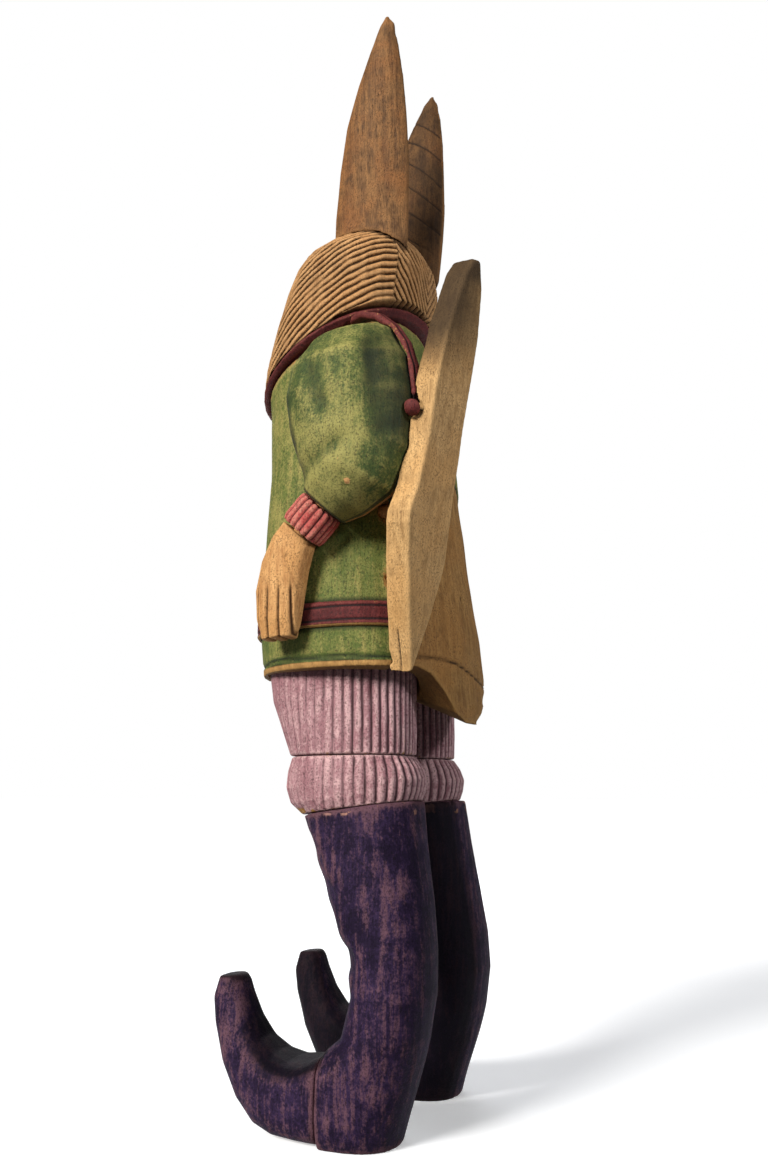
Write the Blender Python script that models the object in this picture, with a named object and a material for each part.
"""A carved and painted wooden hare figure in a belted coat, built from separate doweled pieces.

Metres, +Z up. The figure faces -Y and its left side is +X. The origin is on the floor, at the
middle of the figure's box.
"""

import math

import bmesh
import bpy
from mathutils import Matrix, Vector

MM = 0.001

# Driving dimensions, in millimetres
GAP = 0.35                  # clearance that touching pieces keep
FIGURE_SHIFT = -4.5         # moves the figure along Y so that its box is centred on the origin
SIDES = {"left": 1, "right": -1}

EAR_TIP_Z = 450
EAR_X = 19                  # at the seat; the blades splay outwards above it
EAR_SPLAY = 0.085
EAR_Y = 6.3
EAR_PEG_R = 5.5
EAR_PEG_DEPTH = 24

NECK_SLOPE = 0.50           # rise of the collar plane towards the back
NECK_Z = 296                # collar plane's height on the middle of the neck
NECK_Y = -13.5
COLLAR_STRETCH = 1.14       # the collar is wider than it is deep
COLLAR_REACH = 36.2         # outer radius of the collar band, front to back

HEM_Z = 162
HEM_BACK_DROP = 20
TAIL_X = 5
TAIL_HALF_WIDTH = 32
BELT_Z = 181.5
BELT_HEIGHT = 10
BELT_PROUD = 1.6

KNEE_Z = 131
CUFF_Z = 112
KNEE_X = 22                 # the legs stand apart at the feet and close together at the knees
FOOT_X = 32
BOOT_JOINT_Y = -2           # plane where the curled toe is glued to the heel piece

ARM_X = 55
WRIST = (55, 1.5, 221)      # middle of the left sleeve's end
RIGHT_ARM_FORWARD = 23      # the right arm is carried further forward than the left
RIGHT_ARM_LIFT = 14
FOREARM_DIP = math.radians(46)
KNEE_DOWEL_Y = 4

BOARD_FOOT = (46.0, 33.0, 158.4)   # lower tip of the board's outer face
BOARD_YAW = math.radians(12)
BOARD_TILT = math.radians(9)
BOARD_THICK = 10.5
BOARD_PEGS = {"lower": 35, "upper": 62}   # each peg's distance up the board from its foot

DOWEL_R = 5
SMALL_DOWEL_R = 3
RING_POINTS = 28
COAT_RING_POINTS = 40
SMALL_RING_POINTS = 18


def vec(x, y, z):
    return Vector((x, y + FIGURE_SHIFT, z)) * MM


def material(name, colour, roughness=0.7, metallic=0.0):
    made = bpy.data.materials.new(name)
    made.use_nodes = True
    shader = made.node_tree.nodes["Principled BSDF"]
    shader.inputs["Base Color"].default_value = (*colour, 1)
    shader.inputs["Roughness"].default_value = roughness
    shader.inputs["Metallic"].default_value = metallic
    return made


def add_object(name, mesh, paint):
    made = bpy.data.objects.new(name, mesh)
    bpy.context.scene.collection.objects.link(made)
    made.data.materials.append(paint)
    return made


def set_origin(piece, point):
    """Puts a moving piece's origin on its joint, leaving its shape where it is."""
    place = vec(*point)
    piece.data.transform(Matrix.Translation(-place))
    piece.location = place


def finish_mesh(name, bm):
    bmesh.ops.recalc_face_normals(bm, faces=bm.faces)
    mesh = bpy.data.meshes.new(name)
    bm.to_mesh(mesh)
    bm.free()
    mesh.shade_smooth()
    mesh.set_sharp_from_angle(angle=math.radians(40))
    return mesh


def ring(centre, across, along, count=RING_POINTS, power=2.0):
    """A closed superellipse of points; across and along are its half axes as vectors in mm."""
    points = []
    for i in range(count):
        angle = 2 * math.pi * i / count
        c, s = math.cos(angle), math.sin(angle)
        a = math.copysign(abs(c) ** (2 / power), c)
        b = math.copysign(abs(s) ** (2 / power), s)
        points.append(Vector(centre) + Vector(across) * a + Vector(along) * b)
    return points


def loft_mesh(name, rings):
    """A closed skin over a row of rings, each end capped by a fan about its middle."""
    bm = bmesh.new()
    rows = [[bm.verts.new(vec(*p)) for p in points] for points in rings]
    count = len(rows[0])
    for low, high in zip(rows, rows[1:]):
        for i in range(count):
            j = (i + 1) % count
            bm.faces.new((low[i], low[j], high[j], high[i]))
    for row in (rows[0], rows[-1]):
        middle = bm.verts.new(sum((v.co for v in row), Vector()) / count)
        for i in range(count):
            bm.faces.new((row[i], row[(i + 1) % count], middle))
    return finish_mesh(name, bm)


def loft(name, rings, paint):
    return add_object(name, loft_mesh(name, rings), paint)


def cylinder_rings(start, end, radius, count=SMALL_RING_POINTS):
    axis = (Vector(end) - Vector(start)).normalized()
    side = axis.orthogonal().normalized() * radius
    return [ring(p, side, axis.cross(side), count) for p in (start, end)]


def dowel(name, start, end, radius, paint):
    return loft(name, cylinder_rings(start, end, radius), paint)


def cutter(name, rings):
    made = loft(name, rings, WOOD)
    made.hide_render = True
    made.display_type = "WIRE"
    return made


def bore(name, start, end, radius):
    """A cutter for a dowel's hole: wider by the gap, and deeper by it at both ends."""
    axis = (Vector(end) - Vector(start)).normalized() * GAP
    return cutter(name, cylinder_rings(Vector(start) - axis, Vector(end) + axis, radius + GAP))


def combine(piece, tools, operation="DIFFERENCE"):
    for tool in tools:
        step = piece.modifiers.new(f"{operation.lower()} {tool.name}", "BOOLEAN")
        step.operation = operation
        step.object = tool


def neck_plane_z(y):
    return NECK_Z + NECK_SLOPE * (y - NECK_Y)


def smooth_step(value, low, high):
    t = min(1, max(0, (value - low) / (high - low)))
    return t * t * (3 - 2 * t)


# Coat

COAT_STATIONS = (           # height, middle y, half width, half depth, share of the collar's slope
    (HEM_Z, 0, 49.5, 42.6, 0),
    (178, -1.4, 50, 42.4, 0),
    (205, -3.5, 49, 40.2, 0),
    (228, -4.5, 47.5, 38.2, 0.1),
    (250, -5.5, 45.5, 36.2, 0.4),
    (272, -8, 43, 34.4, 0.75),
    (NECK_Z, NECK_Y, 37, 32, 1),
)


def hem_height(x, y):
    """The hem is level round the front and sides, and hangs down as a rounded tail at the back."""
    if y < 0:
        return HEM_Z
    return HEM_Z - HEM_BACK_DROP * smooth_step(TAIL_HALF_WIDTH - abs(x - TAIL_X), 0, 26)


def coat_ring(z, y, half_width, half_depth, slope, grow=0.0):
    points = ring((0, y, z), (half_width + grow, 0, 0), (0, half_depth + grow, 0), COAT_RING_POINTS, 2.3)
    for p in points:
        p.z += slope * NECK_SLOPE * (p.y - y)
        if z == HEM_Z:
            p.z = hem_height(p.x, p.y)
    return points


def coat_rings(grow=0.0):
    rings = [coat_ring(*s, grow=grow) for s in COAT_STATIONS]
    for p in rings[0]:
        p.z -= grow
    for p in rings[-1]:
        p.z += grow
    return rings


def coat_section(z):
    """Middle y, half width and half depth of the coat at a height below the chest."""
    for low, high in zip(COAT_STATIONS, COAT_STATIONS[1:]):
        if low[0] <= z <= high[0]:
            t = (z - low[0]) / (high[0] - low[0])
            return [a + (b - a) * t for a, b in zip(low[1:4], high[1:4])]
    raise ValueError(z)


BUCKLE_STATIONS = ((0, 9, 7.5), (2.5, 9, 7.5), (4, 7, 5.5))   # depth, half width, half height


def belt_strip(inside, outside, half_height, reach):
    """A band round the coat's front, from one hip to the other, as a row of rectangular rings."""
    rings = []
    steps = 30
    for i in range(steps + 1):
        angle = -math.pi / 2 - reach + 2 * reach * i / steps
        corners = []
        for offset, z in ((inside, -1), (outside, -0.8), (outside, 0.8), (inside, 1)):
            y, half_width, half_depth = coat_section(BELT_Z + z * half_height)
            c, s = math.cos(angle), math.sin(angle)
            c = math.copysign(abs(c) ** (2 / 2.3), c)
            s = math.copysign(abs(s) ** (2 / 2.3), s)
            corners.append(Vector((c * (half_width + offset), y + s * (half_depth + offset),
                                   BELT_Z + z * half_height)))
        rings.append(corners)
    return rings


# Breeches, knee cuffs and boots

BREECHES_STATIONS = (       # height, middle x, middle y, half width, half depth
    (KNEE_Z, KNEE_X, -0.4, 20.8, 24.6),
    (140, KNEE_X, -2, 21, 26.6),
    (152, KNEE_X, -4.4, 21.2, 29),
    (HEM_Z + 6, KNEE_X, -5.6, 21.2, 30.4),
)
CUFF_STATIONS = (           # offset up from the cuff's foot, half width, half depth, middle y
    (0, 20, 22.6, 3.6),
    (4, 21.2, 25.8, 1.8),
    (9, 21.5, 27.2, 1.1),
    (14, 21.3, 26, 0.6),
    (19 - GAP, 20.4, 23.6, 0),
)
SHAFT_STATIONS = (          # height, front y, back y, half width, middle x
    (0, -13, 22, 14.8, FOOT_X),
    (3, -15, 22.8, 16.2, FOOT_X),
    (9, -16, 24.6, 17.2, FOOT_X),
    (23, -13, 29.6, 17.6, FOOT_X),
    (29, -4, 31.4, 17.6, FOOT_X),
    (34, 2.8, 32.6, 17.6, FOOT_X),
    (48, 6.2, 34.6, 17.4, FOOT_X - 0.3),
    (62, 3.8, 34.2, 17.6, 30.6),
    (80, -3.6, 32.2, 18.4, 28),
    (98, -10.8, 29.6, 19.2, 25.4),
    (CUFF_Z - GAP, -17.4, 27.6, 20, KNEE_X + 1.6),
)
TOE_STATIONS = (            # outer y and z, inner y and z, half width, squareness
    (BOOT_JOINT_Y - GAP, 0, BOOT_JOINT_Y - GAP, 28.4, 17, 4.2),
    (-11, 0, -9, 25.6, 16.4, 3.8),
    (-21, 0, -17, 24.8, 15.4, 3.2),
    (-30, 2.4, -23.6, 26.8, 14, 2.8),
    (-38, 9.2, -29.6, 31.2, 12.2, 2.6),
    (-45, 20.4, -34.2, 38, 10.2, 2.5),
    (-49.6, 34, -37.4, 45.4, 8.4, 2.5),
    (-50.8, 43, -38.8, 49.6, 7.4, 2.5),
    (-48.6, 50.6, -40.4, 51.4, 5.8, 2.5),
)


def cuff_slant(y):
    return 0.12 * (y - 6)


def breeches_rings(side, grow=0.0):
    rings = [ring((side * x, y, z), (half_width + grow, 0, 0), (0, half_depth + grow, 0), 24, 2.1)
             for z, x, y, half_width, half_depth in BREECHES_STATIONS]
    for p in rings[0]:
        p.z -= grow
    for p in rings[-1]:
        p.z += grow
    return rings


def cuff_rings(side):
    rings = []
    for up, half_width, half_depth, y in CUFF_STATIONS:
        points = ring((side * KNEE_X, y, CUFF_Z + up), (half_width, 0, 0), (0, half_depth, 0), 24, 2.3)
        for p in points:
            p.z += cuff_slant(p.y) * (1 - up / (KNEE_Z - CUFF_Z))
        rings.append(points)
    return rings


def shaft_rings(side):
    rings = []
    for z, front, back, half_width, x in SHAFT_STATIONS:
        middle, half_depth = (front + back) / 2, (back - front) / 2
        points = ring((side * x, middle, z), (half_width, 0, 0), (0, half_depth, 0), 24, 2.4)
        if z == CUFF_Z - GAP:
            for p in points:
                p.z += cuff_slant(p.y)
        rings.append(points)
    return rings


def toe_rings(side):
    rings = []
    for outer_y, outer_z, inner_y, inner_z, half_width, power in TOE_STATIONS:
        outer = Vector((side * FOOT_X, outer_y, outer_z))
        inner = Vector((side * FOOT_X, inner_y, inner_z))
        points = ring((outer + inner) / 2, (half_width, 0, 0), (inner - outer) / 2, 20, power)
        for p in points:
            p.z = max(p.z, 0)
        rings.append(points)
    return rings


# Head and ears

HEAD_STATIONS = (           # height, front y, back y, half width
    (258, -46, 18, 37),
    (278, -48.5, 20, 38.5),
    (295, -46.5, 21.5, 39),
    (314, -42, 23, 38.5),
    (328, -37.5, 24.4, 37),
    (337, -34, 24.8, 35.5),
    (344, -30, 23.8, 32.5),
    (350, -23.5, 20.5, 26.5),
    (354, -15, 14.5, 18),
)
EAR_STATIONS = (            # height, front y, back y, half thickness
    (327, -4, 14, 4.5),
    (336, -9, 19, 5.8),
    (346, -11.8, 22.4, 6.4),
    (362, -11, 23.4, 6.4),
    (382, -8.6, 24.2, 6),
    (402, -4.4, 23.8, 5.4),
    (420, 1.8, 23, 4.6),
    (435, 8, 21.4, 3.6),
    (445, 12.8, 19.6, 2.4),
    (EAR_TIP_Z, 15, 18, 1.2),
)


def head_rings(grow=0.0):
    rings = []
    for z, front, back, half_width in HEAD_STATIONS:
        middle, half_depth = (front + back) / 2, (back - front) / 2
        across, along = (half_width + grow, 0, 0), (0, half_depth + grow, 0)
        rings.append(ring((0, middle, z), across, along, RING_POINTS, 2.35))
    for p in rings[-1]:
        p.z += grow
    return rings


def under_collar_rings(lift):
    """A slab below the collar plane, raised by lift, that trims what stands on the neck."""
    rings = []
    for depth in (60, 0):
        points = ring((0, NECK_Y, 0), (95, 0, 0), (0, 95, 0), 24)
        for p in points:
            p.z = neck_plane_z(p.y) + lift - depth
        rings.append(points)
    return rings


def collar_zone_rings():
    """A slanted column that holds the collar and the head, kept free by the sleeves and the strap."""
    rings = []
    for lift in (0, 70):
        across, along = (COLLAR_REACH * COLLAR_STRETCH + GAP, 0, 0), (0, COLLAR_REACH + GAP, 0)
        points = ring((0, NECK_Y, 0), across, along, 36)
        for p in points:
            p.z = neck_plane_z(p.y) + lift
        rings.append(points)
    return rings


def ear_rings(side):
    rings = []
    for z, front, back, half_thickness in EAR_STATIONS:
        middle, half_depth = (front + back) / 2, (back - front) / 2
        x = EAR_X + EAR_SPLAY * (z - EAR_STATIONS[2][0])
        rings.append(ring((side * x, middle, z), (half_thickness, 0, 0), (0, half_depth, 0), 20, 1.8))
    return rings


def collar_rings():
    """A flattened band laid round the neck on the collar plane."""
    rings = []
    steps = 36
    for i in range(steps):
        angle = 2 * math.pi * i / steps
        c, s = math.cos(angle), math.sin(angle)
        corners = []
        for reach, lift in ((30.0, GAP), (34.5, GAP), (COLLAR_REACH, 2.4), (34.5, 4.6), (30.0, 4.6)):
            p = Vector((c * reach * COLLAR_STRETCH, NECK_Y + s * reach, 0))
            p.z = neck_plane_z(p.y) + lift
            corners.append(p)
        rings.append(corners)
    return rings


def closed_band_mesh(name, rings):
    """A skin over a row of rings whose last ring joins its first."""
    bm = bmesh.new()
    rows = [[bm.verts.new(vec(*p)) for p in points] for points in rings]
    for low, high in zip(rows, rows[1:] + rows[:1]):
        for i in range(len(low)):
            j = (i + 1) % len(low)
            bm.faces.new((low[i], low[j], high[j], high[i]))
    return finish_mesh(name, bm)


# Arms

SLEEVE_STATIONS = (         # middle x, y and z, half thickness, half width, turn of the ring from level
    (38, 8, 297, 6, 10, 10),
    (45, 9, 290, 14, 17.5, 6),
    (50, 10.5, 277, 19, 23.5, 2),
    (52, 11.5, 262, 20, 25.4, -4),
    (53, 12, 246, 19, 24.4, -14),
    (54, 10, 234, 17, 20.5, -26),
    (54.6, 6, 226.5, 13.5, 14.5, -38),
    (WRIST[0], WRIST[1] + GAP, WRIST[2] + GAP, 8.6, 10.2, -44),
)
HAND_STATIONS = (           # middle y and z, half thickness, half width, turn of the ring from level
    (-7.6, 211.8, 5.6, 7.6, -40),
    (-10.6, 207, 6.2, 8.4, -30),
    (-13.6, 199.5, 6.6, 9.2, -14),
    (-15.4, 190, 6.6, 9.6, -4),
    (-15.8, 180, 6.0, 8.6, 2),
    (-15.4, 172.6, 4.4, 7.0, 4),
)
CUFF_LENGTH = 12
WRIST_CUFF_STATIONS = (     # distance from the sleeve's end, half thickness, half width
    (0, 7.4, 8.6),
    (2, 8, 9),
    (10, 8, 9),
    (CUFF_LENGTH, 7.4, 8.4),
)


def turned(degrees):
    """A level unit vector along Y, turned about X by an angle."""
    angle = math.radians(degrees)
    return Vector((0, math.cos(angle), math.sin(angle)))


def arm_point(side, x, y, z):
    """A point of the left arm, or its mirror image swung forward and up about the shoulder."""
    swing = smooth_step(-z, -302, -258) if side < 0 else 0
    return Vector((side * x, y - RIGHT_ARM_FORWARD * swing, z + RIGHT_ARM_LIFT * swing))


def sleeve_rings(side, grow=0.0):
    rings = []
    for x, y, z, half_thickness, half_width, turn in SLEEVE_STATIONS:
        across, along = (half_thickness + grow, 0, 0), turned(turn) * (half_width + grow)
        rings.append(ring(arm_point(side, x, y, z), across, along, 24, 2.2))
    return rings


def forearm_point(side, distance):
    """A point on the forearm's axis, measured from the sleeve's end towards the hand."""
    return arm_point(side, WRIST[0], WRIST[1] - distance * math.cos(FOREARM_DIP),
                     WRIST[2] - distance * math.sin(FOREARM_DIP))


def wrist_cuff_rings(side):
    rings = []
    across = turned(-math.degrees(math.pi / 2 - FOREARM_DIP))
    for distance, half_thickness, half_width in WRIST_CUFF_STATIONS:
        centre = forearm_point(side, distance)
        rings.append(ring(centre, (half_thickness, 0, 0), across * half_width, 20, 2.6))
    return rings


def hand_rings(side):
    return [ring(arm_point(side, ARM_X, y, z), (half_thickness, 0, 0), turned(turn) * half_width, 18, 2.5)
            for y, z, half_thickness, half_width, turn in HAND_STATIONS]


# Board slung on the back

# The board's outline on its outer face, across and up from its foot
BOARD_NEAR_EDGE = ((0, 0), (7.2, 25.8), (13.6, 52.5), (13.6, 56.5), (10, 68), (8, 83.5), (7, 106),
                   (3, 130), (-4, 153), (-8, 159.5))
BOARD_FAR_EDGE = ((-2.2, 1.2), (-8.3, 20.6), (-14.2, 43), (-14.6, 78.4), (-15.6, 98), (-17.4, 114.5),
                  (-18.4, 131), (-16.6, 150), (-12.6, 160.5))


def board_axes():
    out = Vector((math.sin(BOARD_YAW), math.cos(BOARD_YAW), 0))
    across = Vector((math.cos(BOARD_YAW), -math.sin(BOARD_YAW), 0))
    up = Vector((0, 0, 1))
    along = up * math.cos(BOARD_TILT) + out * math.sin(BOARD_TILT)
    normal = out * math.cos(BOARD_TILT) - up * math.sin(BOARD_TILT)
    return across, along, normal


def board_mesh():
    """The plank's outline, pushed forward by its thickness, with its long edges broken."""
    across, along, normal = board_axes()
    outline = BOARD_NEAR_EDGE + tuple(reversed(BOARD_FAR_EDGE))
    bm = bmesh.new()
    corners = [bm.verts.new(vec(*(Vector(BOARD_FOOT) + across * s + along * t))) for s, t in outline]
    face = bm.faces.new(corners)
    pushed = bmesh.ops.extrude_face_region(bm, geom=[face])["geom"]
    moved = [v for v in pushed if isinstance(v, bmesh.types.BMVert)]
    bmesh.ops.translate(bm, verts=moved, vec=normal * -BOARD_THICK * MM)
    bmesh.ops.recalc_face_normals(bm, faces=bm.faces)
    rims = [e for e in bm.edges if any(len(f.verts) > 4 for f in e.link_faces)]
    bmesh.ops.bevel(bm, geom=rims, offset=1.4 * MM, segments=2, affect="EDGES", profile=0.5)
    return finish_mesh("slung_board", bm)


def board_point(s, t, depth):
    across, along, normal = board_axes()
    return Vector(BOARD_FOOT) + across * s + along * t - normal * depth


STRAP_ROUTE = ((33, 4, 305), (40, 12, 303), (43, 19.5, 299.5), (45.5, 27, 292.6), (48, 32.5, 284),
               (50, 36.2, 273), (51.6, 38.2, 262), (53.4, 38.4, 257))
STRAP_OUTWARD = Vector((0.35, 0.75, 0.55))
STRAP_KNOB = Vector((56.6, 38.4, 254.5))
BOARD_TRAVEL = 24           # how far the notch for the strap is left open for the board to slide off


def board_way():
    """The level direction in which the board slides off its pegs."""
    return Vector((math.sin(BOARD_YAW), math.cos(BOARD_YAW), 0))


def trailed(points, travel):
    """The ring with its half that faces the body drawn out towards the body."""
    middle = sum(points, Vector()) / len(points)
    return [p - board_way() * travel if (p - middle).dot(board_way()) < 0 else p for p in points]


def strap_rings(grow=0.0):
    """The strap's strip, from the collar over the left shoulder down to its knob beside the board."""
    rings = []
    for i, p in enumerate(STRAP_ROUTE):
        ahead = Vector(STRAP_ROUTE[min(i + 1, len(STRAP_ROUTE) - 1)]) - Vector(STRAP_ROUTE[max(i - 1, 0)])
        out = (STRAP_OUTWARD - ahead * (STRAP_OUTWARD.dot(ahead) / ahead.length_squared)).normalized()
        side = ahead.normalized().cross(out)
        rings.append(ring(p, side * (2.8 + grow), out * (1.6 + grow), 10, 3))
    end = (Vector(STRAP_ROUTE[-1]) - Vector(STRAP_ROUTE[-2])).normalized() * grow
    rings[-1] = [p + end for p in rings[-1]]
    return rings


def knob_rings(grow=0.0):
    radius = 3.6 + grow
    rings = []
    for i in range(1, 8):
        angle = math.pi * i / 8
        reach = radius * math.sin(angle)
        centre = STRAP_KNOB - Vector((0, 0, radius * math.cos(angle)))
        rings.append(ring(centre, (reach, 0, 0), (0, reach, 0), 14))
    return rings


def clear_scene():
    for old in list(bpy.data.objects):
        bpy.data.objects.remove(old)


def build_ear(name, side, head):
    socket = bore(f"{name}_ear_socket", (side * EAR_X, EAR_Y, EAR_STATIONS[2][0] - EAR_PEG_DEPTH),
                  (side * EAR_X, EAR_Y, 371), EAR_PEG_R)
    combine(head, [socket])
    ear = loft(f"{name}_ear", ear_rings(side), EAR_WOOD)
    set_origin(ear, (side * EAR_X, EAR_Y, EAR_STATIONS[2][0]))
    peg_ends = ((side * EAR_X, EAR_Y, EAR_STATIONS[2][0] - EAR_PEG_DEPTH), (side * EAR_X, EAR_Y, 366))
    peg = cutter(f"{name}_ear_peg", cylinder_rings(*peg_ends, EAR_PEG_R))
    combine(ear, [cutter(f"{name}_ear_seat", head_rings(GAP))])
    combine(ear, [peg], "UNION")


def build_body():
    coat_gap = cutter("coat_clearance", coat_rings(GAP))
    coat = loft("coat_block", coat_rings(), GREEN)
    neck_ends = ((0, NECK_Y, 268), (0, NECK_Y, 325))
    dowel("neck_dowel", *neck_ends, DOWEL_R + 1, WOOD)
    neck_bore = bore("neck_bore", *neck_ends, DOWEL_R + 1)
    add_object("collar_band", closed_band_mesh("collar_band", collar_rings()), MAROON)
    collar_gap = cutter("collar_clearance", under_collar_rings(4.6 + GAP))
    head = loft("head_block", head_rings(), WOOD)
    for name, side in SIDES.items():
        build_ear(name, side, head)
    combine(head, [collar_gap, neck_bore])
    combine(coat, [neck_bore])
    loft("belt", belt_strip(GAP, BELT_PROUD, BELT_HEIGHT / 2, math.radians(125)), MAROON)
    y, _, half_depth = coat_section(BELT_Z)
    front = y - half_depth - BELT_PROUD - GAP
    buckle = [ring((0, front - depth, BELT_Z), (half_width, 0, 0), (0, 0, half_height), 16, 4)
              for depth, half_width, half_height in BUCKLE_STATIONS]
    loft("belt_buckle", buckle, MAROON)
    belt_gap = cutter("belt_clearance", [
        coat_ring(z, *coat_section(z), 0, grow=BELT_PROUD + 2 * GAP) for z in (163, 176, BELT_Z, 205)])
    collar_zone = cutter("collar_zone", collar_zone_rings())
    return coat, (coat_gap, belt_gap, collar_zone)


def build_leg(name, side, coat):
    waist_ends = ((side * KNEE_X, -4, 150), (side * KNEE_X, -4, 188))
    knee_ends = ((side * KNEE_X, KNEE_DOWEL_Y, 94), (side * KNEE_X, KNEE_DOWEL_Y, 145))
    toe_ends = ((side * FOOT_X, -14, 12), (side * FOOT_X, 9, 12))
    waist_bore = bore(f"{name}_waist_bore", *waist_ends, DOWEL_R)
    knee_bore = bore(f"{name}_knee_bore", *knee_ends, DOWEL_R)
    toe_bore = bore(f"{name}_toe_bore", *toe_ends, SMALL_DOWEL_R)
    dowel(f"{name}_waist_dowel", *waist_ends, DOWEL_R, WOOD)
    dowel(f"{name}_knee_dowel", *knee_ends, DOWEL_R, WOOD)
    dowel(f"{name}_toe_dowel", *toe_ends, SMALL_DOWEL_R, WOOD)
    breeches = loft(f"{name}_breeches", breeches_rings(side), MAUVE)
    combine(breeches, [waist_bore, knee_bore])
    combine(coat, [cutter(f"{name}_breeches_clearance", breeches_rings(side, GAP)), waist_bore])
    combine(loft(f"{name}_knee_cuff", cuff_rings(side), MAUVE), [knee_bore])
    shaft = loft(f"{name}_boot", shaft_rings(side), PURPLE)
    joint_box = cutter(f"{name}_toe_joint", [
        ring((side * FOOT_X, BOOT_JOINT_Y - 30, z), (40, 0, 0), (0, 30, 0), 24, 40) for z in (-6, 28.8)])
    combine(shaft, [joint_box, knee_bore, toe_bore])
    combine(loft(f"{name}_boot_toe", toe_rings(side), PURPLE), [toe_bore])


def build_arm(name, side, coat, clearances):
    coat_gap, belt_gap, collar_zone = clearances
    shoulder_ends = (arm_point(side, 31, 10, 262), arm_point(side, 60, 10, 262))
    wrist_ends = (forearm_point(side, -9), forearm_point(side, CUFF_LENGTH + 6))
    shoulder_bore = bore(f"{name}_shoulder_bore", *shoulder_ends, DOWEL_R - 1)
    wrist_bore = bore(f"{name}_wrist_bore", *wrist_ends, SMALL_DOWEL_R)
    dowel(f"{name}_shoulder_dowel", *shoulder_ends, DOWEL_R - 1, WOOD)
    dowel(f"{name}_wrist_dowel", *wrist_ends, SMALL_DOWEL_R, WOOD)
    combine(coat, [shoulder_bore])
    sleeve = loft(f"{name}_sleeve", sleeve_rings(side), GREEN)
    combine(sleeve, [coat_gap, collar_zone, shoulder_bore, wrist_bore])
    combine(loft(f"{name}_wrist_cuff", wrist_cuff_rings(side), RED), [coat_gap, wrist_bore])
    hand = loft(f"{name}_hand", hand_rings(side), WOOD)
    combine(hand, [belt_gap, coat_gap, wrist_bore])


def build_board(coat, clearances):
    coat_gap, belt_gap, collar_zone = clearances
    sleeve_gap = cutter("sleeve_clearance", sleeve_rings(1, GAP))
    strap = loft("shoulder_strap", strap_rings(), MAROON)
    combine(strap, [cutter("strap_knob", knob_rings())], "UNION")
    combine(strap, [collar_zone, coat_gap, sleeve_gap])
    board = add_object("slung_board", board_mesh(), PALE_WOOD)
    set_origin(board, board_point(-5, BOARD_PEGS["lower"], BOARD_THICK))
    strap_notch = [trailed(points, BOARD_TRAVEL) for points in strap_rings(GAP)]
    knob_notch = [trailed(points, BOARD_TRAVEL) for points in knob_rings(GAP)]
    combine(board, [coat_gap, belt_gap, sleeve_gap, cutter("strap_clearance", strap_notch),
                    cutter("knob_clearance", knob_notch)])
    out = board_way()
    for label, t in BOARD_PEGS.items():
        inner = board_point(-5, t, BOARD_THICK)
        ends = (inner - out * 17, inner + out * 6)
        dowel(f"{label}_board_peg", *ends, SMALL_DOWEL_R, WOOD)
        peg_bore = bore(f"{label}_board_bore", *ends, SMALL_DOWEL_R)
        combine(board, [peg_bore])
        combine(coat, [peg_bore])


clear_scene()
WOOD = material("bare_wood", (0.50, 0.31, 0.16))
EAR_WOOD = material("ear_wood", (0.33, 0.19, 0.10))
PALE_WOOD = material("pale_wood", (0.52, 0.34, 0.18))
GREEN = material("green_paint", (0.13, 0.17, 0.06))
MAROON = material("maroon_paint", (0.11, 0.03, 0.03))
RED = material("red_paint", (0.45, 0.10, 0.09))
MAUVE = material("mauve_paint", (0.42, 0.24, 0.26))
PURPLE = material("purple_paint", (0.05, 0.03, 0.055), 0.5)

coat, clearances = build_body()
for side_name, side in SIDES.items():
    build_leg(side_name, side, coat)
    build_arm(side_name, side, coat, clearances)
build_board(coat, clearances)
